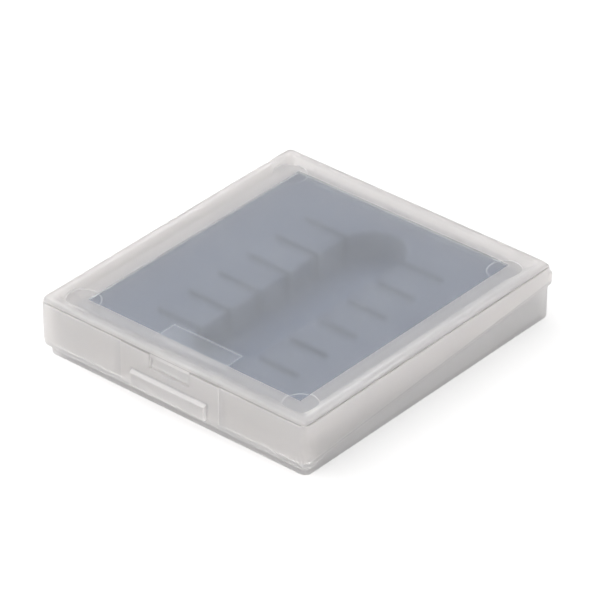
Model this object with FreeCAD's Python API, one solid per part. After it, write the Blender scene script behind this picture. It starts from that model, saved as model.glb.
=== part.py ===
import FreeCAD, Part
import math
import os

# Blade storage case: a hinged box in translucent moulded plastic with a slotted foam insert.
# Sizes are in millimetres. X runs across the case, Y from the latch at the front to the hinge
# at the back, and Z up. The origin is on the face that the case rests on, under the middle of
# the lid's outline.

# Overall size of the closed case, over the lid's skirt
case_width = 125.6
case_depth = 138.2
case_height = 24.2
corner_radius = 3.2

# Lid: overlapping skirt with a rounded shoulder, raised rim and lower plate
skirt_wall = 1.1
skirt_bottom_front = 6.6
shoulder_inset = 0.55
shoulder_round = 0.35
rim_back_inset = 1.15
rim_height = 1.7
rim_round = 1.2
rim_top_width = 2.8
rim_slope_run = 3.6
rim_soft_round = 3.0
rim_wall = 1.2
rim_inner_corner = 2.0
plate_drop = 1.7
plate_thickness = 1.2

# Faint marks in the top of the plate: clear window, corner discs and a bare label bed
window_half_width = 50.1
window_front = 12.4
window_back = 9.9
window_depth = 0.45
window_corner = 0.8
disc_diameter = 13.1
disc_side_offset = 11.5
disc_front_offset = 11.3
disc_back_offset = 13.6
label_width = 32.0
label_length = 10.8
label_setback = 10.0
mark_depth = 0.12

# Latch: pad, finger tab and window in the front skirt, and the catch on the tray
pad_width = 46.2
pad_proud = 0.25
pad_round = 0.2
tab_width = 35.2
tab_height = 6.55
tab_proud = 1.75
tab_bevel_drop = 1.0
tab_round = 0.5
latch_window_width = 19.0
latch_window_height = 4.7
latch_window_top_gap = 0.1
latch_window_corner = 0.45
latch_rib_thickness = 1.0
latch_rib_gap = 0.3
latch_rib_raise = 1.0
catch_side_gap = 0.5
catch_height = 3.4
catch_bottom_gap = 0.5
catch_bite = 0.5
catch_land = 0.7

# Tray
tray_wall = 1.6
floor_thickness = 1.2
tray_front_inset = 2.35
tray_back_inset = 0.7
tray_side_gap = 0.3
tray_draft = 0.25
tray_corner = 3.0
tray_floor_round = 1.0
tray_top_gap = 0.5
floor_edge_round = 0.5
gate_mark_diameter = 4.0
gate_mark_depth = 0.3

# Stop rim round the tray, which the skirt comes down on, and the like flange on the lid's back
stop_rim_inset = 0.2
stop_rim_height = 2.3
stop_rim_round = 1.4
stop_gap = 0.3
flange_reach = 2.0
lid_flange_height = 3.0
lid_flange_round = 1.5

# Hinge: two thin leaves and the bending web between them
hinge_height = 16.5
hinge_length = 104.0
hinge_reach = 0.65
web_radius = 0.55
leaf_thickness = 0.4
web_running_gap = 0.05
parting_gap = 0.3
back_wall_gap = 0.3

# Foam insert
foam_slack = 0.3
foam_corner = 1.5
backing_thickness = 0.8
slab_thickness = 13.4
slot_count = 6
slot_pitch = 16.2
slot_length = 66.2
slot_width = 2.6
slot_mouth_round = 0.9
slot_group_centre = 2.4
channel_width = 26.4
channel_length = 105.8

# Lines and faces that follow from the sizes above
half_width = case_width / 2
half_depth = case_depth / 2
crease_height = case_height - rim_height
plate_top = case_height - plate_drop
plate_underside = plate_top - plate_thickness
rim_half_width = half_width - shoulder_inset
rim_front = -half_depth + shoulder_inset
rim_back = half_depth - rim_back_inset
rim_corner = corner_radius - shoulder_inset
cavity_half_width = half_width - skirt_wall
cavity_half_depth = half_depth - skirt_wall
cavity_corner = corner_radius - skirt_wall
flange_back = half_depth + flange_reach
tray_half_width = cavity_half_width - tray_side_gap
tray_front = -half_depth + tray_front_inset
tray_back = flange_back - tray_back_inset
tray_top = plate_underside - tray_top_gap
tray_rear_top = hinge_height - parting_gap / 2
lid_rear_bottom = hinge_height + parting_gap / 2
hinge_axis_y = flange_back + hinge_reach
slab_bottom = floor_thickness + backing_thickness
foam_gap = tray_floor_round + foam_slack
foam_half_width = tray_half_width - tray_wall - foam_gap
foam_front = tray_front + tray_wall + foam_gap
foam_back = tray_back - tray_wall - foam_gap
latch_window_top = plate_underside - latch_window_top_gap
latch_window_bottom = latch_window_top - latch_window_height

# Cutters run this far past the faces that they cut, and pieces that join sink this far into each other
overrun = 1.0

# Lengths nearer than this count as equal when edges are picked
alike = 0.001


def point(x, y, z):
    return FreeCAD.Vector(x, y, z)


def box(x_low, x_high, y_low, y_high, z_low, z_high):
    return Part.makeBox(x_high - x_low, y_high - y_low, z_high - z_low, point(x_low, y_low, z_low))


def upright_edges(shape):
    """Edges of a shape that run straight up."""
    found = []
    for edge in shape.Edges:
        ends = [vertex.Point for vertex in edge.Vertexes]
        if len(ends) == 2 and abs(ends[0].z - ends[1].z) > alike:
            if math.hypot(ends[0].x - ends[1].x, ends[0].y - ends[1].y) < alike:
                found.append(edge)
    return found


def flat_edges(shape, height):
    """Edges of a shape that lie wholly at one height."""
    found = []
    for edge in shape.Edges:
        bounds = edge.BoundBox
        if abs(bounds.ZMin - height) < alike and abs(bounds.ZMax - height) < alike:
            found.append(edge)
    return found


def rounded_block(half_x, y_low, y_high, z_low, z_high, radius):
    """Upright block, centred across the case, with its four upright edges rounded."""
    block = box(-half_x, half_x, y_low, y_high, z_low, z_high)
    return block.makeFillet(radius, upright_edges(block))


def rounded_outline(half_x, y_low, y_high, height, radius):
    """Closed wire: a rectangle with round corners, lying at one height."""
    face = Part.makePlane(2 * half_x, y_high - y_low, point(-half_x, y_low, height))
    solid = face.extrude(point(0, 0, 1))
    rounded = solid.makeFillet(radius, upright_edges(solid))
    return Part.Wire(Part.__sortEdges__(flat_edges(rounded, height)))


def side_profile(corners, half_length):
    """Prism across the case from corners given as (y, z)."""
    wire = Part.makePolygon([point(-half_length, y, z) for y, z in corners + corners[:1]])
    return Part.Face(wire).extrude(point(2 * half_length, 0, 0))


def rod_across(y, z, radius, length):
    return Part.makeCylinder(radius, length, point(-length / 2, y, z), point(1, 0, 0))


def lid_skirt():
    """Skirt with a rounded shoulder, still solid inside and square at the bottom."""
    skirt = rounded_block(half_width, -half_depth, half_depth, skirt_bottom_front, crease_height,
                          corner_radius)
    return skirt.makeFillet(shoulder_round, flat_edges(skirt, crease_height))


def sloped_core(foot_inset, foot_height, low, high):
    """Block inside the rim whose sides spread upwards as the rim's inner slope does."""
    outlines = []
    for height in (low, high):
        inset = foot_inset - (height - foot_height) * rim_slope_run / plate_drop
        outlines.append(rounded_outline(rim_half_width - inset, rim_front + inset, rim_back - inset, height,
                                        rim_inner_corner))
    return Part.makeLoft(outlines, True, True)


def raised_rim():
    """Rim and plate: rounded outside, and sloping softly down to the plate inside."""
    rim = rounded_block(rim_half_width, rim_front, rim_back, crease_height - shoulder_round, case_height,
                        rim_corner)
    rim = rim.makeFillet(rim_round, flat_edges(rim, case_height))
    recess = sloped_core(rim_top_width + rim_slope_run, plate_top, plate_top, case_height + overrun)
    recess = recess.makeFillet(rim_soft_round, flat_edges(recess, plate_top))
    rim = rim.cut(recess)
    inner_edges = []
    for edge in flat_edges(rim, case_height):
        bounds = edge.BoundBox
        if (max(bounds.XMax, -bounds.XMin) < rim_half_width - rim_top_width + alike
                and bounds.YMin > rim_front + rim_top_width - alike
                and bounds.YMax < rim_back - rim_top_width + alike):
            inner_edges.append(edge)
    return rim.makeFillet(rim_soft_round, inner_edges)


def rim_groove():
    """Hollow under the rim, so that the rim's wall is as thin as the rest."""
    roof = case_height - rim_wall
    outer = rounded_block(rim_half_width - rim_wall, rim_front + rim_wall, rim_back - rim_wall,
                          plate_underside - overrun, roof, rim_corner - rim_wall)
    lean = math.atan2(plate_drop, rim_slope_run)
    foot = rim_top_width + rim_slope_run - plate_thickness * math.tan(lean / 2)
    core = sloped_core(foot, plate_underside, plate_underside - 2 * overrun, roof + overrun)
    return outer.cut(core)


def lid_flange():
    """Flange along the lid's back and round its corners, just above the hinge."""
    top = lid_rear_bottom + lid_flange_height
    flange = rounded_block(half_width, -half_depth, flange_back, lid_rear_bottom, top, corner_radius)
    flange = flange.makeFillet(lid_flange_round, flat_edges(flange, top))
    start = half_depth - corner_radius - lid_flange_height
    return flange.common(box(-half_width, half_width, start, flange_back, lid_rear_bottom, top))


def skirt_wedge():
    """What is cut off below the skirt, whose edge climbs in a straight line to the hinge."""
    ahead = -half_depth - overrun
    behind = flange_back + overrun
    below = skirt_bottom_front - 2 * overrun
    corners = [(ahead, skirt_bottom_front), (-half_depth, skirt_bottom_front), (half_depth, lid_rear_bottom),
               (behind, lid_rear_bottom), (behind, below), (ahead, below)]
    return side_profile(corners, half_width + overrun)


def clear_window(floor):
    """The plate's middle, sunk a little below the frosted border."""
    return rounded_block(window_half_width, -half_depth + window_front, half_depth - window_back, floor,
                         plate_top + overrun, window_corner)


def marks_down_to(floor):
    """A disc at each corner and the label bed, cut down to one level."""
    marks = []
    for side in (-1, 1):
        for y in (-half_depth + disc_front_offset, half_depth - disc_back_offset):
            centre = point(side * (half_width - disc_side_offset), y, floor)
            marks.append(Part.makeCylinder(disc_diameter / 2, plate_top + overrun - floor, centre))
    label_low = -half_depth + label_setback
    marks.append(box(-label_width / 2, label_width / 2, label_low, label_low + label_length, floor,
                     plate_top + overrun))
    return Part.makeCompound(marks)


def plate_marks():
    """Shallow marks in the plate, each as deep in the window as outside it."""
    window_floor = plate_top - window_depth
    border_marks = marks_down_to(plate_top - mark_depth)
    window_marks = marks_down_to(window_floor - mark_depth).common(clear_window(window_floor - mark_depth))
    return [clear_window(window_floor), border_marks, window_marks]


def latch_pad():
    """Slightly raised panel in the middle of the front skirt."""
    face = -half_depth - pad_proud
    pad = box(-pad_width / 2, pad_width / 2, face, -cavity_half_depth - skirt_wall / 2, skirt_bottom_front,
              crease_height)
    top_edges = [edge for edge in flat_edges(pad, crease_height) if edge.BoundBox.YMax < face + alike]
    pad = pad.makeFillet(shoulder_round - pad_round, top_edges)
    side_edges = [edge for edge in upright_edges(pad) if edge.BoundBox.YMax < face + alike]
    return pad.makeFillet(pad_round, side_edges)


def finger_tab():
    """Tab to pull, bevelled on top, level with the skirt's lower edge."""
    root = -half_depth - pad_proud / 2
    face = -half_depth - tab_proud
    top = skirt_bottom_front + tab_height
    corners = [(root, skirt_bottom_front), (face, skirt_bottom_front), (face, top - tab_bevel_drop),
               (root, top)]
    tab = side_profile(corners, tab_width / 2)
    outer_edges = []
    for edge in tab.Edges:
        if edge.BoundBox.YMax < face + alike:
            outer_edges.append(edge)
    return tab.makeFillet(tab_round, outer_edges)


def latch_window():
    """Hole in the front skirt for the catch, with a shallow pocket that reaches the rim."""
    half_length = latch_window_width / 2
    hole = box(-half_length, half_length, -half_depth - overrun, -cavity_half_depth + overrun / 2,
               latch_window_bottom, latch_window_top)
    through_edges = [edge for edge in hole.Edges if edge.BoundBox.YLength > overrun]
    hole = hole.makeFillet(latch_window_corner, through_edges)
    pocket = box(-half_length, half_length, -half_depth - overrun, rim_front,
                 latch_window_top - overrun, crease_height)
    return hole.fuse(pocket)


def latch_ribs():
    """Two upright ribs inside the skirt, one under each side of the pad."""
    ribs = []
    reach = tray_front - latch_rib_gap
    for side in (-1, 1):
        middle = side * (pad_width - latch_rib_thickness) / 2
        ribs.append(box(middle - latch_rib_thickness / 2, middle + latch_rib_thickness / 2,
                        -cavity_half_depth - skirt_wall / 2, reach,
                        skirt_bottom_front + latch_rib_raise, plate_underside + plate_thickness / 2))
    return ribs


def lid_leaf():
    """Thin lip along the lid's back edge that ends round the web."""
    leaf = box(-hinge_length / 2, hinge_length / 2, flange_back - flange_reach / 2, hinge_axis_y,
               lid_rear_bottom, lid_rear_bottom + leaf_thickness)
    return leaf.cut(rod_across(hinge_axis_y, hinge_height, web_radius + web_running_gap,
                               hinge_length + 2 * overrun))


def make_lid():
    cavity = rounded_block(cavity_half_width, -cavity_half_depth, cavity_half_depth,
                           skirt_bottom_front - overrun, plate_underside, cavity_corner)
    lid = lid_skirt().fuse([raised_rim(), lid_flange()])
    lid = lid.cut([cavity, rim_groove()] + plate_marks())
    lid = lid.fuse([latch_pad(), finger_tab()] + latch_ribs())
    lid = lid.cut([latch_window(), skirt_wedge()])
    return lid.fuse(lid_leaf()).removeSplitter()


def tray_outside():
    """Outer form of the tray, drawn in a little towards the bottom, with a soft lower edge."""
    outline_low = rounded_outline(tray_half_width - tray_draft, tray_front + tray_draft,
                                  tray_back - tray_draft, 0.0, tray_corner)
    outline_high = rounded_outline(tray_half_width, tray_front, tray_back, tray_top, tray_corner)
    body = Part.makeLoft([outline_low, outline_high], True, True)
    return body.makeFillet(floor_edge_round, flat_edges(body, 0.0))


def tray_inside():
    half_x = tray_half_width - tray_wall
    hollow = rounded_block(half_x, tray_front + tray_wall, tray_back - tray_wall, floor_thickness,
                           tray_top + overrun, tray_corner - tray_wall / 2)
    return hollow.makeFillet(tray_floor_round, flat_edges(hollow, floor_thickness))


def stop_rim():
    """Rim round the tray just under the skirt's edge, which it follows, with a rounded lower edge."""
    front = -half_depth + stop_rim_inset
    rise = (lid_rear_bottom - skirt_bottom_front) / case_depth
    front_top = skirt_bottom_front + rise * stop_rim_inset - stop_gap
    back_top = front_top + rise * (flange_back - front)
    block = rounded_block(half_width - stop_rim_inset, front, flange_back, front_top - 2 * stop_rim_height,
                          back_top + overrun, corner_radius)
    band = side_profile([(front, front_top - stop_rim_height), (flange_back, back_top - stop_rim_height),
                         (flange_back, back_top), (front, front_top)], half_width)
    rim = block.common(band)
    low_edges = []
    for edge in rim.Edges:
        middle = edge.valueAt((edge.FirstParameter + edge.LastParameter) / 2)
        if abs(front_top - stop_rim_height + rise * (middle.y - front) - middle.z) < alike:
            low_edges.append(edge)
    return rim.makeFillet(stop_rim_round, low_edges)


def rear_clearance():
    """Room above the tray's back wall and corners, where the lid's back wall comes down."""
    room = box(-half_width, half_width, 0, flange_back + overrun, tray_rear_top, tray_top + overrun)
    kept = rounded_block(tray_half_width, -half_depth, cavity_half_depth - back_wall_gap,
                         tray_rear_top - overrun, tray_top + 2 * overrun, cavity_corner)
    return room.cut(kept)


def gate_mark():
    """Dimple under the floor, where the moulding was filled."""
    return Part.makeCylinder(gate_mark_diameter / 2, gate_mark_depth + overrun, point(0, 0, -overrun))


def catch():
    """Wedge that snaps into the latch window: sloping above, square below."""
    bottom = latch_window_bottom + catch_bottom_gap
    face = -cavity_half_depth - catch_bite
    root = tray_front + tray_wall / 2
    corners = [(root, bottom), (face, bottom), (face, bottom + catch_land),
               (tray_front, bottom + catch_height), (root, bottom + catch_height)]
    return side_profile(corners, latch_window_width / 2 - catch_side_gap)


def tray_leaf():
    """Thin lip along the tray's back edge that carries the web."""
    leaf = box(-hinge_length / 2, hinge_length / 2, flange_back - flange_reach / 2, hinge_axis_y,
               tray_rear_top - leaf_thickness, tray_rear_top)
    return leaf.cut(rod_across(hinge_axis_y, hinge_height, web_radius, hinge_length + 2 * overrun))


def make_base_tray():
    tray = tray_outside().fuse(stop_rim())
    tray = tray.cut([tray_inside(), rear_clearance(), gate_mark()])
    return tray.fuse([catch(), tray_leaf()]).removeSplitter()


def make_hinge_web():
    return rod_across(hinge_axis_y, hinge_height, web_radius, hinge_length)


def foam_layer(low, high):
    return rounded_block(foam_half_width, foam_front, foam_back, low, high, foam_corner)


def finger_channel(low, high):
    """Slot-shaped cutter, round at both ends, for the channel that a finger reaches into."""
    radius = channel_width / 2
    straight = channel_length / 2 - radius
    block = box(-radius, radius, slot_group_centre - straight, slot_group_centre + straight, low, high)
    ends = []
    for side in (-1, 1):
        centre = point(0, slot_group_centre + side * straight, low)
        ends.append(Part.makeCylinder(radius, high - low, centre))
    return block.fuse(ends).removeSplitter()


def blade_slots(low, high):
    """One long cutter per blade slot, evenly spaced along the channel."""
    slots = []
    first = slot_group_centre - slot_pitch * (slot_count - 1) / 2
    for index in range(slot_count):
        middle = first + index * slot_pitch
        slots.append(box(-slot_length / 2, slot_length / 2, middle - slot_width / 2,
                         middle + slot_width / 2, low, high))
    return slots


def make_foam_insert():
    """Foam slab with the channel and slots cut right through, their meeting corners eased."""
    top = slab_bottom + slab_thickness
    low = slab_bottom - overrun
    high = top + overrun
    cutter = finger_channel(low, high).fuse(blade_slots(low, high)).removeSplitter()
    mouth_edges = []
    for edge in upright_edges(cutter):
        if abs(edge.BoundBox.XMin) < channel_width / 2 + alike:
            mouth_edges.append(edge)
    cutter = cutter.makeFillet(slot_mouth_round, mouth_edges)
    return foam_layer(slab_bottom, top).cut(cutter)


def make_foam_backing():
    return foam_layer(floor_thickness, slab_bottom)


makers = {
    "base_tray": make_base_tray,
    "foam_backing": make_foam_backing,
    "foam_insert": make_foam_insert,
    "hinge_web": make_hinge_web,
    "lid": make_lid,
}

os.makedirs("parts", exist_ok=True)
for node_name, make in makers.items():
    part_shape = make()
    print(node_name, "solids", len(part_shape.Solids), "volume", round(part_shape.Volume, 1))
    part_shape.exportStep(os.path.join("parts", node_name + ".step"))
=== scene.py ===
import math

import bmesh
import bpy
from mathutils import Matrix, Vector, geometry, noise


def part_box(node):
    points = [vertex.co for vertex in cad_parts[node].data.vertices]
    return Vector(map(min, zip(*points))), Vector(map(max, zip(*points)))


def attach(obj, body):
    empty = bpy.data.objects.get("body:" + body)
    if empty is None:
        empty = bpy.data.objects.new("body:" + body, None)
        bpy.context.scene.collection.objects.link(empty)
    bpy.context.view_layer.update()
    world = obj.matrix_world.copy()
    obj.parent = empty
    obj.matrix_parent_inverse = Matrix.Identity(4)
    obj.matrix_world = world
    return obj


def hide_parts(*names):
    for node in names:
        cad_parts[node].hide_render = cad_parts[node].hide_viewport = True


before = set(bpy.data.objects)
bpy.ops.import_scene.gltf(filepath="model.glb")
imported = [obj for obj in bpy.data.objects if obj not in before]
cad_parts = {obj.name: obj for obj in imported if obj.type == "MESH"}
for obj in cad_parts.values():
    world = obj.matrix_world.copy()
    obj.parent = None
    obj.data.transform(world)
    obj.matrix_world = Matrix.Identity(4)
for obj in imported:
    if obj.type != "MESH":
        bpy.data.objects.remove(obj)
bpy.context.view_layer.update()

# Lengths below are in millimetres, and MM carries them to the scene's metres
MM = 0.001

# Marks in the lid's plate, as the solid has them
WINDOW_HALF_WIDTH = 50.1
WINDOW_FRONT = -56.7
WINDOW_BACK = 59.2
WINDOW_SOFT = 0.15
DISCS = [(x, y) for x in (-51.3, 51.3) for y in (-57.8, 55.5)]
DISC_RADIUS = 6.55
LABEL_HALF_WIDTH = 16.0
LABEL_HALF_LENGTH = 5.4
LABEL_MIDDLE = -53.7
LABEL_SOFT = 0.2
# Width of the painted highlight lines along the disc rings and the label's edge, marks that the solid has
MARK_LINE = 0.3

# Heights in the lid between which its plate, its marks and its rim begin, and its flange ends
PLATE_START = (20.0, 20.6)
MARKS_START = (21.5, 21.8)
RIM_START = (22.6, 23.2)
FLANGE_TOP = (19.4, 20.2)

# Skirt's lower edge: its height at y = 0, its rise per millimetre towards the hinge, and its painted
# highlight line
SKIRT_MIDDLE = 11.625
SKIRT_RISE = 10.05 / 138.2
SKIRT_EDGE = (0.1, 0.7)

# Painted shade along the thin crease where the lid's raised rim meets its shoulder
RIM_SIDE = 62.25
RIM_FRONT = -68.55
RIM_BACK = 67.95
CREASE_MIDDLE = 22.58
CREASE_WIDTH = 0.24
CREASE_START = (-0.25, -0.15)

# From here to the hinge the lid's back is thicker, and so milkier
THICK_BACK = (66.9, 67.9)

# Finger tab and the pad that it stands on
TAB_HALF_WIDTH = 17.6
TAB_BOTTOM = 6.6
TAB_BEVEL = 12.15
TAB_ROOT = (-69.8, -69.5)
PAD_HALF_WIDTH = 23.1
PAD_FACE = (-69.0, -68.9)

# Painted highlight lines along the tab's and the pad's edges
TAB_END = TAB_HALF_WIDTH - 0.2
TAB_END_LINE = 0.8
TAB_BOTTOM_LINE = 1.0
TAB_BEVEL_START = TAB_BEVEL - 0.3
PAD_LINE = 0.5

# Shade beside the pad and round the tab's foot
BESIDE_PAD_START = (PAD_HALF_WIDTH, PAD_HALF_WIDTH + 0.4)
BESIDE_PAD_END = (PAD_HALF_WIDTH + 0.6, PAD_HALF_WIDTH + 4.5)
BESIDE_PAD_FACE = (PAD_FACE[0], PAD_FACE[1] + 0.4)
TAB_FOOT_SIDE = (TAB_HALF_WIDTH + 0.2, TAB_HALF_WIDTH + 1.4)
TAB_FOOT_TOP = (TAB_BEVEL + 1.0, TAB_BEVEL + 2.0)

# Tray's lower edge with its painted highlight, and the painted shade that the skirt casts on the tray, from
# its edge down and from the front
TRAY_EDGE = (0.1, 0.9)
UNDER_SKIRT = (-1.6, -0.3)
UNDER_SKIRT_END = (0.0, 0.3)
UNDER_SKIRT_FRONT = (-66.0, -64.0)

# Plastic: share of light that goes straight through, and roughness
LID_CLEAR = 0.75
LID_ROUGH = 0.36
TRAY_CLEAR = 0.55
TRAY_ROUGH = 0.30

# Plastic's unevenness: wide flow marks, smaller clouds and fine grain
FLOW_SIZE = 22.0
FLOW_CLEAR = 0.06
FLOW_DEPTH = 0.12
CLOUD_SIZE = 5.0
CLOUD_CLEAR = 0.03
GRAIN_SIZE = 0.22
GRAIN_ROUGH = 0.10
GRAIN_DEPTH = 0.012

# How much milkier the plastic is along its painted highlight lines, and how strong each kind of line is
HIGHLIGHT_LINE_MILK = 0.35
MARK_HIGHLIGHT_STRENGTH = 1.5
SKIRT_HIGHLIGHT_STRENGTH = 0.9
TAB_BEVEL_HIGHLIGHT_STRENGTH = 0.7
TRAY_HIGHLIGHT_STRENGTH = 0.6

# How strong each shade is
CREASE_STRENGTH = 0.7
BESIDE_PAD_STRENGTH = 0.22
TAB_FACE_STRENGTH = 0.12
TAB_FOOT_STRENGTH = 0.35
UNDER_SKIRT_STRENGTH = 0.3

# Plastic colours; the crease, latch and skirt shades are painted shade
WARM_WHITE = (0.99, 0.965, 0.95, 1.0)
COOL_WHITE = (0.98, 0.965, 0.96, 1.0)
WINDOW_TINT = (0.88, 0.915, 0.97, 1.0)
CREASE_SHADE = (0.30, 0.29, 0.28, 1.0)
LATCH_SHADE = (0.45, 0.46, 0.48, 1.0)
SKIRT_SHADE = (0.45, 0.45, 0.45, 1.0)
SHADOW_TINT = (0.93, 0.925, 0.92, 1.0)

# Foam colours, each the lighter and the darker of a pair
SLAB_COLOURS = ((0.195, 0.215, 0.275, 1.0), (0.115, 0.13, 0.172, 1.0))
# The sheet's colours are lifted lighter and bluer than the slab's, as painted light against the shade in the
# channel over it
SHEET_COLOURS = ((0.25, 0.29, 0.40, 1.0), (0.18, 0.21, 0.30, 1.0))

# Foam's cut cells, larger pores and uneven patches
CELL_SIZE = 0.55
CELL_SHADE = 0.55
CELL_DEPTH = 0.10
PORE_SIZE = 1.3
PORE_REACH = 0.35
PORE_DEPTH = 0.8
PATCH_SIZE = 9.0
PATCH_SHADE = 0.5
FOAM_ROUGH = (0.85, 0.98)

# Openings in the foam
SLOTS = 6
SLOT_PITCH = 16.2
SLOT_HALF_LENGTH = 33.1
SLOT_HALF_WIDTH = 1.3
SLOT_MOUTH_ROUND = 0.9
SLOT_END_ROUND = 0.25
OPENING_MIDDLE = 2.4
CHANNEL_RADIUS = 13.2
CHANNEL_STRAIGHT = 39.7
CHANNEL_END_STEPS = 28
CHANNEL_END_START = 1.0
FOAM_CORNER = 1.5

# Foam meshes: distance between points on the outline, in the opening and inside a face
OUTLINE_STEP = 1.6
OPENING_STEP = 0.9
FACE_PITCH = 3.2
FACE_MARGIN = 0.45 * FACE_PITCH

# Rounded corners: at least so many pieces, and so much finer than the outline's step
ARC_LEAST = 3
ARC_FINER = 2

# How far the foam's faces rise and its sides ripple, with the rate and the seed of the noise for each
FACE_LIFT = 0.05
FACE_LIFT_RATE = 0.15
FACE_LIFT_SEED = 3.0
SLAB_WAVE = 0.05
SHEET_WAVE = 0.03
WAVE_RATE = 0.2
WAVE_RATE_UP = 0.3
WAVE_SEED = 7.0

# How far the foam's sides are drawn in: at heights above the bottom, at shares of the height, and at
# depths below the top
SLAB_SIDES = ([(0.0, 0.0), (0.3, 0.0)],
              [(0.25, 0.10), (0.5, 0.16), (0.78, 0.10)],
              [(0.6, 0.02), (0.3, 0.06), (0.1, 0.20), (0.0, 0.5)])
SHEET_SIDES = ([(0.0, 0.15), (0.15, 0.0)],
               [],
               [(0.2, 0.0), (0.05, 0.05), (0.0, 0.15)])

# Triangulation that keeps what its edges enclose and leaves out the holes
INSIDE_BUT_HOLES = 2
MERGE_DISTANCE = 1e-5

# Studio, in metres and watts
FLOOR_HALF_SIZE = 6.0
FLOOR_DROP = 0.1 * MM
FLOOR_COLOUR = (0.90, 0.90, 0.90, 1.0)
FLOOR_LIFT = 0.28
WORLD_LIGHT = 0.81
WORLD_SEEN = 1.0
WHITE = (1.0, 1.0, 1.0, 1.0)

# Each lamp's name, place, width and power
LAMPS = [
    ("key", (-1.2, -0.8, 1.3), 1.2, 6.5),
    ("side", (-1.5, -0.05, 0.7), 1.0, 8.5),
    ("fill", (1.4, 0.4, 0.9), 1.0, 0.8),
]

# Camera: angles in degrees, distance and target in metres
CAMERA_AZIMUTH = 40.74
CAMERA_ELEVATION = 32.86
CAMERA_ROLL = -0.14
CAMERA_DISTANCE = 1.8339
CAMERA_TARGET = (-0.01465, 0.01851, 0.0)
CAMERA_LENS = 300.0
CAMERA_SENSOR = 36.0
CAMERA_NEAR = 0.1
CAMERA_FAR = 30.0


class Graph:
    """A material's node tree, with short calls for the nodes that the materials share."""

    def __init__(self, name):
        self.material = bpy.data.materials.new(name)
        self.material.use_nodes = True
        self.tree = self.material.node_tree
        self.tree.nodes.clear()

    def node(self, kind, inputs=None, **settings):
        made = self.tree.nodes.new(kind)
        for key, value in settings.items():
            setattr(made, key, value)
        for key, value in (inputs or {}).items():
            self.feed(made.inputs[key], value)
        return made

    def feed(self, socket, value):
        if isinstance(value, bpy.types.NodeSocket):
            self.tree.links.new(value, socket)
        else:
            socket.default_value = value

    def math(self, operation, a, b=0.5, c=0.5, clamp=False):
        made = self.node("ShaderNodeMath", {0: a, 1: b, 2: c}, operation=operation, use_clamp=clamp)
        return made.outputs[0]

    def product(self, first, *others):
        for other in others:
            first = self.math("MULTIPLY", first, other)
        return first

    def largest(self, first, *others):
        for other in others:
            first = self.math("MAXIMUM", first, other)
        return first

    def ramp(self, value, low, high, out_low=0.0, out_high=1.0):
        """Carries low..high smoothly to out_low..out_high, held at both ends."""
        return self.node("ShaderNodeMapRange", {"Value": value, "From Min": low, "From Max": high,
                                                "To Min": out_low, "To Max": out_high},
                         interpolation_type="SMOOTHSTEP").outputs["Result"]

    def fall(self, value, low, high):
        """1 up to low, sinking to 0 at high."""
        return self.ramp(value, low, high, 1.0, 0.0)

    def within(self, value, low, high, soft):
        """1 between low and high, falling to 0 over soft millimetres outside them."""
        return self.product(self.ramp(value, low - soft, low), self.fall(value, high, high + soft))

    def near(self, value, target, width):
        """1 where value is at target, falling to 0 at width from it."""
        away = self.math("ABSOLUTE", self.math("SUBTRACT", value, target))
        return self.fall(away, 0.0, width)

    def blend(self, share, a, b):
        """Colour a where share is 0 and b where it is 1."""
        made = self.node("ShaderNodeMix", data_type="RGBA")
        self.feed(made.inputs["Factor"], share)
        self.feed(made.inputs[6], a)
        self.feed(made.inputs[7], b)
        return made.outputs[2]

    def place(self):
        """The surface point in the piece's own frame, in millimetres."""
        coordinates = self.node("ShaderNodeTexCoord").outputs["Object"]
        scaled = self.node("ShaderNodeVectorMath", {0: coordinates, "Scale": 1 / MM}, operation="SCALE")
        return scaled.outputs[0]

    def noise(self, place, size, detail=2.0, roughness=0.5):
        """Soft noise from 0 to 1 whose blobs are about size millimetres across."""
        return self.node("ShaderNodeTexNoise", {"Vector": place, "Scale": 1 / size, "Detail": detail,
                                                "Roughness": roughness}).outputs["Fac"]

    def cells(self, place, size):
        return self.node("ShaderNodeTexVoronoi", {"Vector": place, "Scale": 1 / size}).outputs["Distance"]

    def bump(self, height, depth, normal=None):
        """Normal for a height from 0 to 1 that stands for depth millimetres."""
        inputs = {"Height": height, "Strength": 1.0, "Distance": depth * MM}
        if normal is not None:
            inputs["Normal"] = normal
        return self.node("ShaderNodeBump", inputs).outputs["Normal"]

    def finish(self, shader):
        output = self.node("ShaderNodeOutputMaterial")
        self.feed(output.inputs["Surface"], shader)
        return self.material


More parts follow.
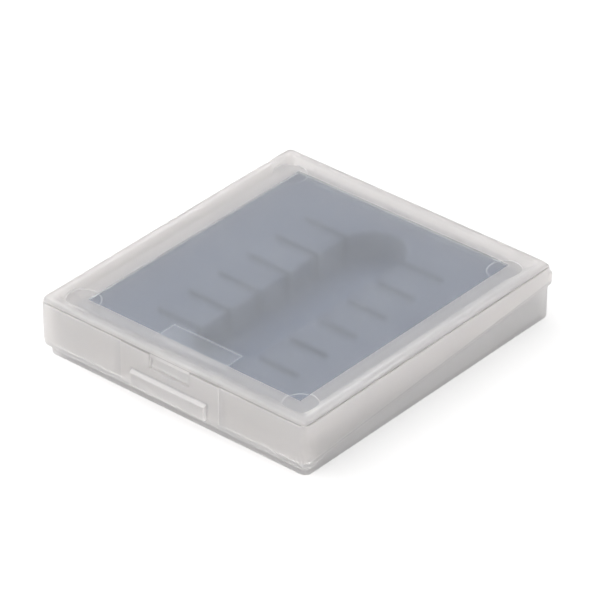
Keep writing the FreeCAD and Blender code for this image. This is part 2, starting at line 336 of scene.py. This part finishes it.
class Plastic(Graph):
    """Natural translucent moulding, milky and finely textured. Masks make it clearer, rougher or darker."""

    def __init__(self, name, clear, rough):
        super().__init__(name)
        place = self.place()
        self.x, self.y, self.z = self.node("ShaderNodeSeparateXYZ", {0: place}).outputs
        self.across = self.math("ABSOLUTE", self.x)
        self.flow = self.noise(place, FLOW_SIZE, detail=3.0, roughness=0.55)
        self.grain = self.noise(place, GRAIN_SIZE, roughness=0.6)
        cloud = self.noise(place, CLOUD_SIZE)
        uneven = self.math("ADD", self.product(self.flow, FLOW_CLEAR), self.product(cloud, CLOUD_CLEAR))
        self.clear = self.math("ADD", uneven, clear)
        self.rough = self.math("ADD", self.product(self.grain, GRAIN_ROUGH), rough)
        self.colour = self.blend(self.flow, WARM_WHITE, COOL_WHITE)

    def adjust(self, mask, clear, rough=0.0):
        """Adds to the clearness and the roughness where mask is 1."""
        self.clear = self.math("ADD", self.clear, self.product(mask, clear))
        if rough:
            self.rough = self.math("ADD", self.rough, self.product(mask, rough))

    def tint(self, mask, colour):
        self.colour = self.blend(mask, self.colour, colour)

    def above_skirt_edge(self):
        """Height above the skirt's sloping lower edge."""
        return self.math("SUBTRACT", self.z, self.math("MULTIPLY_ADD", self.y, SKIRT_RISE, SKIRT_MIDDLE))

    def finish_milky(self, lines):
        """The material, milkier along painted highlight lines. Light passes it on the way to what it shades.
        """
        clear = self.math("SUBTRACT", self.clear, self.product(lines, HIGHLIGHT_LINE_MILK), clamp=True)
        relief = self.bump(self.flow, FLOW_DEPTH, self.bump(self.grain, GRAIN_DEPTH))
        surface = self.node("ShaderNodeBsdfPrincipled", {
            "Base Color": self.colour,
            "Roughness": self.rough,
            "IOR": 1.49,
            "Transmission Weight": clear,
            "Subsurface Weight": 0.35,
            "Subsurface Radius": (1.0, 1.0, 0.95),
            "Subsurface Scale": 2.5 * MM,
            "Normal": relief,
        }).outputs[0]
        passing = self.node("ShaderNodeBsdfTransparent", {"Color": SHADOW_TINT}).outputs[0]
        is_shadow = self.node("ShaderNodeLightPath").outputs["Is Shadow Ray"]
        mixed = self.node("ShaderNodeMixShader", {0: is_shadow, 1: surface, 2: passing})
        return self.finish(mixed.outputs[0])


def disc_rings(g):
    """Painted highlight lines on the thin rings round the discs at the plate's corners."""
    rings = []
    for middle_x, middle_y in DISCS:
        flat = g.node("ShaderNodeCombineXYZ", {0: g.math("SUBTRACT", g.x, middle_x),
                                               1: g.math("SUBTRACT", g.y, middle_y), 2: 0.0}).outputs[0]
        length = g.node("ShaderNodeVectorMath", {0: flat}, operation="LENGTH").outputs["Value"]
        rings.append(g.near(length, DISC_RADIUS, MARK_LINE))
    return g.largest(*rings)


def past_label(g):
    """Distance past the edge of the label bed, below 0 inside it."""
    along = g.math("ABSOLUTE", g.math("SUBTRACT", g.y, LABEL_MIDDLE))
    return g.largest(g.math("SUBTRACT", g.across, LABEL_HALF_WIDTH),
                     g.math("SUBTRACT", along, LABEL_HALF_LENGTH))


def painted_crease_shade(g):
    """Painted shade along the thin crease at the foot of the raised rim."""
    off_rim = g.largest(g.math("SUBTRACT", g.across, RIM_SIDE), g.math("SUBTRACT", RIM_FRONT, g.y),
                        g.math("SUBTRACT", g.y, RIM_BACK))
    return g.product(g.near(g.z, CREASE_MIDDLE, CREASE_WIDTH), g.ramp(off_rim, *CREASE_START))


def tab_highlight_lines(g):
    """Painted highlight lines on the ends, lower edge and bevel of the finger tab."""
    edges = g.largest(g.near(g.across, TAB_END, TAB_END_LINE), g.near(g.z, TAB_BOTTOM, TAB_BOTTOM_LINE),
                      g.ramp(g.z, TAB_BEVEL_START, TAB_BEVEL, 0.0, TAB_BEVEL_HIGHLIGHT_STRENGTH))
    return g.product(edges, g.fall(g.y, *TAB_ROOT))


def pad_highlight_lines(g):
    """Painted highlight lines on the upright edges of the pad."""
    return g.product(g.near(g.across, PAD_HALF_WIDTH, PAD_LINE), g.fall(g.y, *PAD_FACE))


def latch_shade(g, tab_highlight_mask):
    """Shade beside the pad, on the tab's face and round the tab's foot."""
    beside = g.product(g.ramp(g.across, *BESIDE_PAD_START), g.fall(g.across, *BESIDE_PAD_END),
                       g.fall(g.y, *BESIDE_PAD_FACE))
    face = g.product(g.fall(g.y, *TAB_ROOT), g.fall(tab_highlight_mask, 0.0, 0.5))
    foot = g.product(g.ramp(g.y, *TAB_ROOT), g.fall(g.y, *PAD_FACE), g.fall(g.across, *TAB_FOOT_SIDE),
                     g.fall(g.z, *TAB_FOOT_TOP))
    return g.largest(g.product(beside, BESIDE_PAD_STRENGTH), g.product(face, TAB_FACE_STRENGTH),
                     g.product(foot, TAB_FOOT_STRENGTH))


def lid_plastic():
    """The lid: clearer in its window, milkier at its thick back, milkier along its marks and edges as
    painted highlights, and darkened with painted shade at its rim's crease and round the latch.
    """
    g = Plastic("lid_plastic", LID_CLEAR, LID_ROUGH)
    upper = g.ramp(g.z, *PLATE_START)
    window = g.product(g.within(g.x, -WINDOW_HALF_WIDTH, WINDOW_HALF_WIDTH, WINDOW_SOFT),
                       g.within(g.y, WINDOW_FRONT, WINDOW_BACK, WINDOW_SOFT), upper)
    label = past_label(g)
    plate = g.product(upper, g.fall(g.z, *RIM_START))
    label_bed = g.product(g.fall(label, -LABEL_SOFT, 0.0), upper)
    thick_back = g.product(g.ramp(g.y, *THICK_BACK), g.fall(g.z, *FLANGE_TOP))
    g.adjust(plate, clear=0.03, rough=-0.08)
    g.adjust(window, clear=0.10, rough=-0.09)
    g.adjust(label_bed, clear=-0.02, rough=0.08)
    g.adjust(thick_back, clear=-0.25)

    marks = g.product(g.largest(disc_rings(g), g.near(label, 0.0, MARK_LINE)), g.ramp(g.z, *MARKS_START))
    skirt_highlight = g.fall(g.above_skirt_edge(), *SKIRT_EDGE)
    tab_highlight_mask = tab_highlight_lines(g)
    lines = g.largest(g.product(marks, MARK_HIGHLIGHT_STRENGTH), g.product(skirt_highlight, SKIRT_HIGHLIGHT_STRENGTH), tab_highlight_mask,
                      pad_highlight_lines(g))

    g.tint(window, WINDOW_TINT)
    g.tint(g.product(painted_crease_shade(g), CREASE_STRENGTH), CREASE_SHADE)
    g.tint(latch_shade(g, tab_highlight_mask), LATCH_SHADE)
    return g.finish_milky(lines)


def tray_plastic():
    """The tray: milkier along its lower edge as a painted highlight, and darker just under the skirt's edge
    with painted shade.
    """
    g = Plastic("tray_plastic", TRAY_CLEAR, TRAY_ROUGH)
    above = g.above_skirt_edge()
    under = g.product(g.ramp(above, *UNDER_SKIRT), g.fall(above, *UNDER_SKIRT_END),
                      g.ramp(g.y, *UNDER_SKIRT_FRONT))
    g.tint(g.product(under, UNDER_SKIRT_STRENGTH), SKIRT_SHADE)
    return g.finish_milky(g.product(g.fall(g.z, *TRAY_EDGE), TRAY_HIGHLIGHT_STRENGTH))


def foam_material(name, light, dark):
    """Closed-cell foam: fine cut cells, a matt skin and slightly uneven colour."""
    g = Graph(name)
    place = g.place()
    cells = g.cells(place, CELL_SIZE)
    pores = g.fall(g.cells(place, PORE_SIZE), 0.0, PORE_REACH)
    patches = g.noise(place, PATCH_SIZE, detail=3.0)
    shade = g.math("ADD", g.product(cells, CELL_SHADE), g.product(patches, PATCH_SHADE), clamp=True)
    height = g.math("SUBTRACT", cells, g.product(pores, PORE_DEPTH))
    surface = g.node("ShaderNodeBsdfPrincipled", {
        "Base Color": g.blend(shade, dark, light),
        "Roughness": g.ramp(shade, 0.0, 1.0, *FOAM_ROUGH),
        "Specular IOR Level": 0.3,
        "Sheen Weight": 0.15,
        "Sheen Roughness": 0.6,
        "Normal": g.bump(height, CELL_DEPTH),
    }).outputs[0]
    return g.finish(surface)


def rounded_corner(before, here, after, radius, step):
    """Points of the arc that rounds the corner here, between its two neighbours."""
    to_before = (before - here).normalized()
    to_after = (after - here).normalized()
    half_angle = to_before.angle(to_after) / 2
    reach = radius / math.tan(half_angle)
    start, end = here + to_before * reach, here + to_after * reach
    centre = here + (to_before + to_after).normalized() * (radius / math.sin(half_angle))
    pieces = max(ARC_LEAST, round(radius * (math.pi - 2 * half_angle) / step * ARC_FINER))
    arc = []
    for piece in range(pieces + 1):
        spot = start.lerp(end, piece / pieces) - centre
        arc.append(centre + spot.normalized() * radius)
    return arc


def eased(corners, step):
    """Closed outline from (x, y, radius) corners, each rounded to its radius, with points step apart."""
    count = len(corners)
    runs = []
    for index, (x, y, radius) in enumerate(corners):
        here = Vector((x, y))
        if radius == 0:
            runs.append([here])
            continue
        before = Vector(corners[index - 1][:2])
        after = Vector(corners[(index + 1) % count][:2])
        runs.append(rounded_corner(before, here, after, radius, step))
    outline = []
    for index, run in enumerate(runs):
        outline.extend(run)
        start, end = run[-1], runs[(index + 1) % count][0]
        pieces = max(1, round((end - start).length / step))
        outline.extend(start.lerp(end, piece / pieces) for piece in range(1, pieces))
    return outline


def opening_corners():
    """Corners of the channel and its slots, counter-clockwise from the lowest slot on the right."""
    side = []
    lowest = OPENING_MIDDLE - SLOT_PITCH * (SLOTS - 1) / 2
    for index in range(SLOTS):
        middle = lowest + SLOT_PITCH * index
        low, high = middle - SLOT_HALF_WIDTH, middle + SLOT_HALF_WIDTH
        side += [(CHANNEL_RADIUS, low, SLOT_MOUTH_ROUND), (SLOT_HALF_LENGTH, low, SLOT_END_ROUND),
                 (SLOT_HALF_LENGTH, high, SLOT_END_ROUND), (CHANNEL_RADIUS, high, SLOT_MOUTH_ROUND)]
    end = []
    top = OPENING_MIDDLE + CHANNEL_STRAIGHT
    for index in range(CHANNEL_END_STEPS + 1):
        angle = math.pi * index / CHANNEL_END_STEPS
        x, y = CHANNEL_RADIUS * math.cos(angle), CHANNEL_RADIUS * math.sin(angle)
        if y > side[-1][1] - top + CHANNEL_END_START:
            end.append((x, top + y, 0))
    half = side + end
    return half + [(-x, 2 * OPENING_MIDDLE - y, radius) for x, y, radius in half]


def outward(loop):
    """Unit normals of a counter-clockwise loop, pointing out of it."""
    count = len(loop)
    normals = []
    for index in range(count):
        along = loop[(index + 1) % count] - loop[index - 1]
        normals.append(Vector((along.y, -along.x)).normalized())
    return normals


def wall(mesh, loop, side, levels, wave):
    """Rings of points up a loop, with faces between them. Side is -1 for an outline, 1 for an opening."""
    normals = outward(loop)
    stack = []
    for height, inset in levels:
        ring = []
        for spot, normal in zip(loop, normals):
            seed = Vector((spot.x * WAVE_RATE, spot.y * WAVE_RATE, height * WAVE_RATE_UP + WAVE_SEED))
            ripple = noise.noise(seed) * wave
            moved = spot + normal * side * (inset + max(ripple, -inset))
            ring.append(mesh.verts.new((moved.x * MM, moved.y * MM, height * MM)))
        stack.append(ring)
    for lower, upper in zip(stack, stack[1:]):
        for index in range(len(loop)):
            after = (index + 1) % len(loop)
            quad = [lower[index], lower[after], upper[after], upper[index]]
            mesh.faces.new(quad if side < 0 else quad[::-1])
    return stack


def encloses(loop, spot):
    """True where a spot lies inside a closed loop."""
    inside = False
    for index, here in enumerate(loop):
        before = loop[index - 1]
        if (here.y > spot.y) != (before.y > spot.y):
            crossing = before.x + (here.x - before.x) * (spot.y - before.y) / (here.y - before.y)
            if spot.x < crossing:
                inside = not inside
    return inside


def grid_spots(border, openings):
    """Staggered spots between the border's, clear of them and outside the openings."""
    left, right = min(spot.x for spot in border), max(spot.x for spot in border)
    front, back = min(spot.y for spot in border), max(spot.y for spot in border)
    found = []
    for row in range(int((back - front) / FACE_PITCH)):
        shift = 0.5 if row % 2 else 0.0
        for column in range(int((right - left) / FACE_PITCH)):
            spot = Vector((left + (column + 0.5 + shift) * FACE_PITCH, front + (row + 0.5) * FACE_PITCH))
            if any(encloses(opening, spot) for opening in openings):
                continue
            if min((spot - other).length_squared for other in border) > FACE_MARGIN ** 2:
                found.append(spot)
    return found


def cap(mesh, rings, upwards):
    """Fills one level with triangles, inside its first ring and outside any other."""
    verts = [vert for ring in rings for vert in ring]
    height = verts[0].co.z
    loops = [[Vector((vert.co.x / MM, vert.co.y / MM)) for vert in ring] for ring in rings]
    border = [spot for loop in loops for spot in loop]
    openings = loops[1:]
    edges = []
    for loop in loops:
        start = len(edges)
        edges += [(start + index, start + (index + 1) % len(loop)) for index in range(len(loop))]
    found = geometry.delaunay_2d_cdt(border + grid_spots(border, openings), edges, [], INSIDE_BUT_HOLES,
                                     MERGE_DISTANCE, True)
    spots, faces = found[0], found[2]
    placed = verts[:]
    for spot in spots[len(verts):]:
        seed = Vector((spot.x * FACE_LIFT_RATE, spot.y * FACE_LIFT_RATE, FACE_LIFT_SEED))
        lift = noise.noise(seed) * FACE_LIFT if upwards else 0.0
        placed.append(mesh.verts.new((spot.x * MM, spot.y * MM, height + lift * MM)))
    for face in faces:
        middle = sum((spots[index] for index in face), Vector((0.0, 0.0))) / len(face)
        if any(encloses(opening, middle) for opening in openings):
            continue
        corners = [placed[index] for index in face]
        mesh.faces.new(corners if upwards else corners[::-1])
    loose = [vert for vert in placed if not vert.link_faces]
    bmesh.ops.delete(mesh, geom=loose, context="VERTS")


def made_piece(name, mesh):
    data = bpy.data.meshes.new(name)
    mesh.to_mesh(data)
    mesh.free()
    data.shade_smooth()
    piece = bpy.data.objects.new(name, data)
    bpy.context.scene.collection.objects.link(piece)
    return piece


def side_levels(bottom, top, sides):
    """Heights up the sides of a piece of foam, each with how far the side is drawn in there."""
    lower, middle, upper = sides
    levels = [(bottom + rise, inset) for rise, inset in lower]
    levels += [(bottom + share * (top - bottom), inset) for share, inset in middle]
    return levels + [(top - drop, inset) for drop, inset in upper]


def foam_slab(name, low, high, opening, sides, wave):
    """Cut foam sheet: an outline and at most one opening, with the sides drawn in level by level."""
    width, front, back = high[0], low[1], high[1]
    levels = side_levels(low[2], high[2], sides)
    corners = [(-width, front, FOAM_CORNER), (width, front, FOAM_CORNER), (width, back, FOAM_CORNER),
               (-width, back, FOAM_CORNER)]
    loops = [(eased(corners, OUTLINE_STEP), -1.0)]
    if opening:
        loops.append((eased(opening, OPENING_STEP), 1.0))
    mesh = bmesh.new()
    stacks = [wall(mesh, loop, side, levels, wave) for loop, side in loops]
    cap(mesh, [stack[0] for stack in stacks], False)
    cap(mesh, [stack[-1] for stack in stacks], True)
    bmesh.ops.recalc_face_normals(mesh, faces=mesh.faces)
    return made_piece(name, mesh)


def in_millimetres(corners):
    return [Vector(corner) / MM for corner in corners]


def add_slab():
    """Slotted foam slab, waisted a little where it was cut, with softened upper edges."""
    low, high = in_millimetres(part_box("foam_insert"))
    slab = foam_slab("foam_slab", low, high, opening_corners(), SLAB_SIDES, SLAB_WAVE)
    slab.data.materials.append(foam_material("cut_foam", *SLAB_COLOURS))
    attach(slab, "tray")
    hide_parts("foam_insert")


def add_sheet():
    """Thin uncut sheet under the slab, its colours lifted as painted light in the channel."""
    low, high = in_millimetres(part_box("foam_backing"))
    sheet = foam_slab("foam_sheet", low, high, [], SHEET_SIDES, SHEET_WAVE)
    sheet.data.materials.append(foam_material("sheet_foam", *SHEET_COLOURS))
    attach(sheet, "tray")
    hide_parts("foam_backing")


def dress(node, material):
    """Gives a solid from the frame its finished material."""
    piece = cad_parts[node]
    piece.data.materials.clear()
    piece.data.materials.append(material)


def add_floor():
    """Plain pale floor that keeps the case's shadow and is white where it is seen."""
    size = FLOOR_HALF_SIZE
    data = bpy.data.meshes.new("floor")
    corners = [(-size, -size, 0), (size, -size, 0), (size, size, 0), (-size, size, 0)]
    data.from_pydata(corners, [], [(0, 1, 2, 3)])
    floor = bpy.data.objects.new("floor", data)
    floor.location.z = -FLOOR_DROP
    bpy.context.scene.collection.objects.link(floor)
    g = Graph("floor")
    paper = g.node("ShaderNodeBsdfDiffuse", {"Color": FLOOR_COLOUR}).outputs[0]
    path = g.node("ShaderNodeLightPath").outputs
    seen = g.largest(path["Is Camera Ray"], path["Is Glossy Ray"], path["Is Transmission Ray"])
    lift = g.node("ShaderNodeEmission", {"Color": WHITE, "Strength": g.product(seen, FLOOR_LIFT)}).outputs[0]
    data.materials.append(g.finish(g.node("ShaderNodeAddShader", {0: paper, 1: lift}).outputs[0]))


def add_world():
    """Even white light, full white where the camera sees it directly or through the plastic."""
    world = bpy.data.worlds.new("studio")
    bpy.context.scene.world = world
    world.use_nodes = True
    tree = world.node_tree
    back = tree.nodes["Background"]
    back.inputs["Color"].default_value = WHITE
    path = tree.nodes.new("ShaderNodeLightPath")
    most = tree.nodes.new("ShaderNodeMath")
    most.operation = "MAXIMUM"
    tree.links.new(path.outputs["Is Camera Ray"], most.inputs[0])
    tree.links.new(path.outputs["Is Transmission Ray"], most.inputs[1])
    level = tree.nodes.new("ShaderNodeMapRange")
    level.inputs["To Min"].default_value = WORLD_LIGHT
    level.inputs["To Max"].default_value = WORLD_SEEN
    tree.links.new(most.outputs[0], level.inputs["Value"])
    tree.links.new(level.outputs["Result"], back.inputs["Strength"])


def add_lamp(name, place, size, power):
    """Square lamp that faces the middle of the scene."""
    data = bpy.data.lights.new(name, "AREA")
    data.shape = "SQUARE"
    data.size = size
    data.energy = power
    lamp = bpy.data.objects.new(name, data)
    lamp.location = place
    lamp.rotation_euler = (-Vector(place)).to_track_quat("-Z", "Y").to_euler()
    bpy.context.scene.collection.objects.link(lamp)


def add_camera():
    """Long lens, a little to the right of the front and well above."""
    azimuth, elevation = math.radians(CAMERA_AZIMUTH), math.radians(CAMERA_ELEVATION)
    roll = math.radians(CAMERA_ROLL)
    back = Vector((math.sin(azimuth) * math.cos(elevation), -math.cos(azimuth) * math.cos(elevation),
                   math.sin(elevation)))
    right = Vector((math.cos(azimuth), math.sin(azimuth), 0.0))
    up = back.cross(right)
    turned_right = math.cos(roll) * right + math.sin(roll) * up
    turned_up = -math.sin(roll) * right + math.cos(roll) * up
    data = bpy.data.cameras.new("camera")
    data.sensor_width = CAMERA_SENSOR
    data.lens = CAMERA_LENS
    data.clip_start = CAMERA_NEAR
    data.clip_end = CAMERA_FAR
    camera = bpy.data.objects.new("camera", data)
    camera.matrix_world = (Matrix.Translation(Vector(CAMERA_TARGET) + back * CAMERA_DISTANCE)
                           @ Matrix((turned_right, turned_up, back)).transposed().to_4x4())
    bpy.context.scene.collection.objects.link(camera)
    bpy.context.scene.camera = camera


dress("lid", lid_plastic())
tray_material = tray_plastic()
dress("base_tray", tray_material)
dress("hinge_web", tray_material)
add_slab()
add_sheet()
add_floor()
add_world()
for lamp in LAMPS:
    add_lamp(*lamp)
add_camera()
bpy.context.scene.view_settings.view_transform = "Standard"
